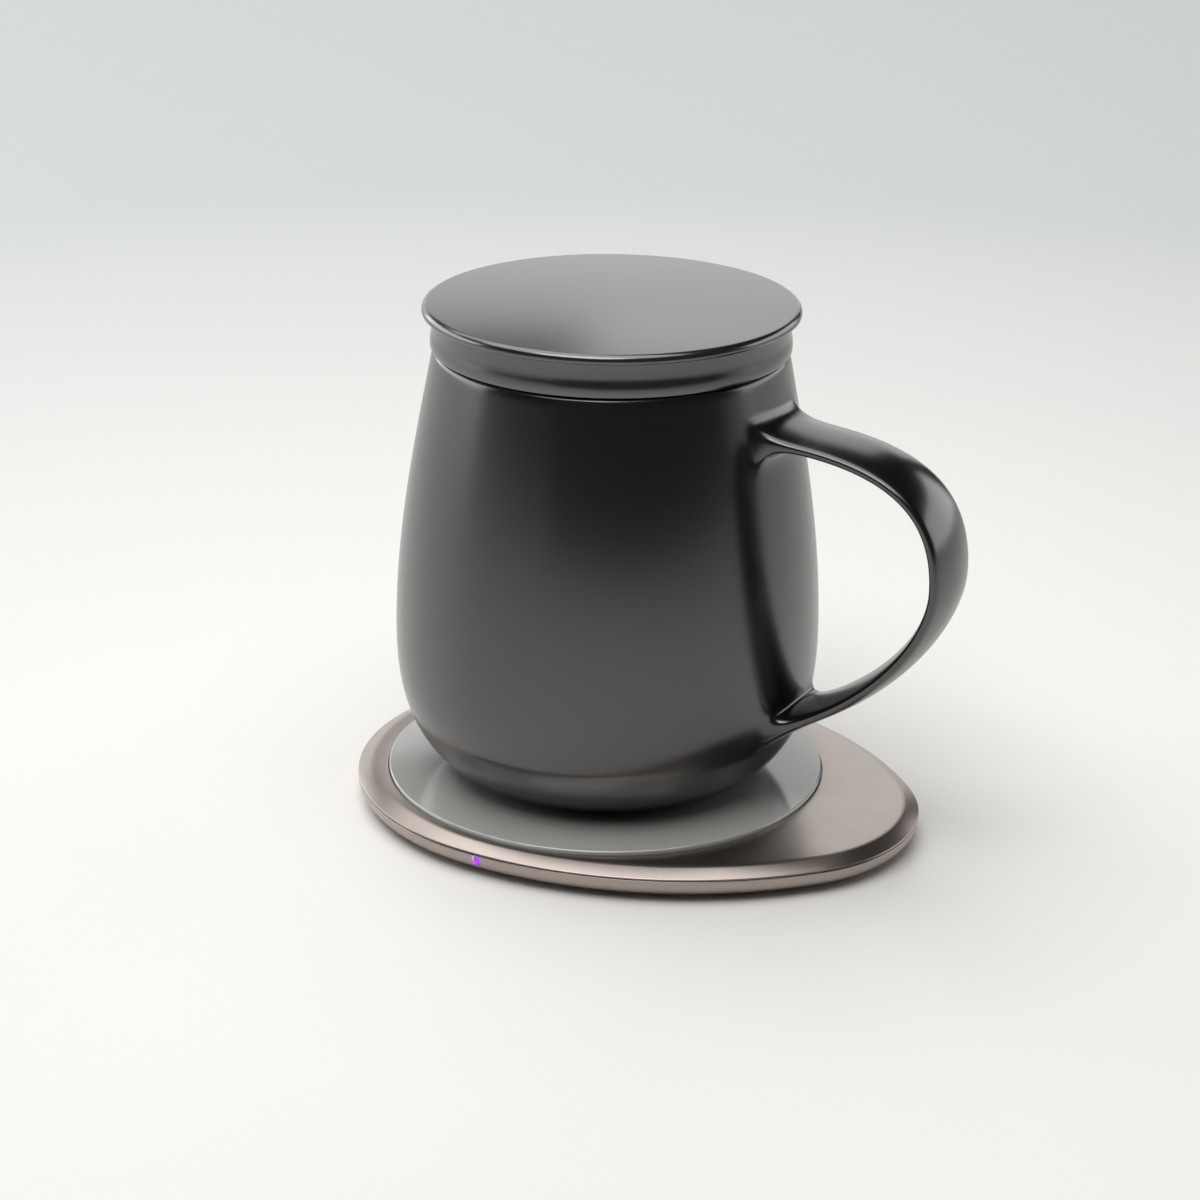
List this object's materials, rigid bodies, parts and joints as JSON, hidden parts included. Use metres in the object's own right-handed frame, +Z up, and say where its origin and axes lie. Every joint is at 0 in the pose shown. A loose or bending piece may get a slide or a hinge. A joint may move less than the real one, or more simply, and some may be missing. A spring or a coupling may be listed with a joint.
{
  "type": "self-heating mug with warming pad",
  "caption": "Barrel-shaped ceramic mug with a strap handle and a flat lid, standing on an egg-shaped aluminium warming pad with a round glass charging plate and a small violet status light.",
  "frame": {"origin": "on the table under the mug's axis, at the sole's lower face", "axes": "+Z up, +X from the mug's axis towards the handle and the pad's tip, +Y towards the power socket's side"},
  "size_m": [0.1319, 0.1014, 0.1099],
  "materials": {
    "charcoal_ceramic": "satin charcoal glaze",
    "anodised_aluminium": "fine blasted, rose-bronze anodised",
    "painted_glass": "glossy grey, opaque, painted on the back",
    "silicone": "matt",
    "violet_light": "frosted light guide, lit violet",
    "steel": "plain",
    "copper": "enamelled copper",
    "ferrite": "sintered, matt",
    "circuit_board": "solder mask",
    "chip_plastic": "moulded",
    "capacitor_ceramic": "plain",
    "carrier_plastic": "moulded",
    "adhesive": "plain",
    "heater_film": "polyimide",
    "insulation": "felt",
    "base_plastic": "moulded, matt"
  },
  "bodies": {
    "pad": {"non_slip_sole": "silicone", "bottom_cover": "anodised_aluminium", "cover_screws": "steel", "cover_gasket": "silicone", "top_cover": "anodised_aluminium", "plate_adhesive": "adhesive", "charging_plate": "painted_glass", "coil_carrier": "carrier_plastic", "ferrite_shield": "ferrite", "transmit_coil": "copper", "coil_leads": "copper", "thermistor": "chip_plastic", "thermal_pad": "silicone", "main_board": "circuit_board", "controller_chip": "chip_plastic", "switching_transistors": "chip_plastic", "resonant_capacitors": "capacitor_ceramic", "power_inductor": "ferrite", "usb_shell": "steel", "usb_tongue": "chip_plastic", "status_led": "chip_plastic", "light_pipe": "violet_light"},
    "mug": {"mug_body": "charcoal_ceramic", "mug_handle": "charcoal_ceramic", "heating_film": "heater_film", "insulation_ring": "insulation", "receiver_board": "circuit_board", "tuning_capacitors": "capacitor_ceramic", "thermal_cutout": "steel", "receiver_ferrite": "ferrite", "receiver_coil": "copper", "base_cover": "base_plastic", "base_seal": "silicone"},
    "lid": {"lid_cap": "charcoal_ceramic", "lid_gasket": "silicone"}
  },
  "joints": [
    {"name": "mug_lift", "type": "slide", "parent": "pad", "child": "mug", "axis": [0, 0, 1], "range_m": [0, 0.15]},
    {"name": "lid_lift", "type": "slide", "parent": "mug", "child": "lid", "axis": [0, 0, 1], "range_m": [0, 0.08]}
  ]
}
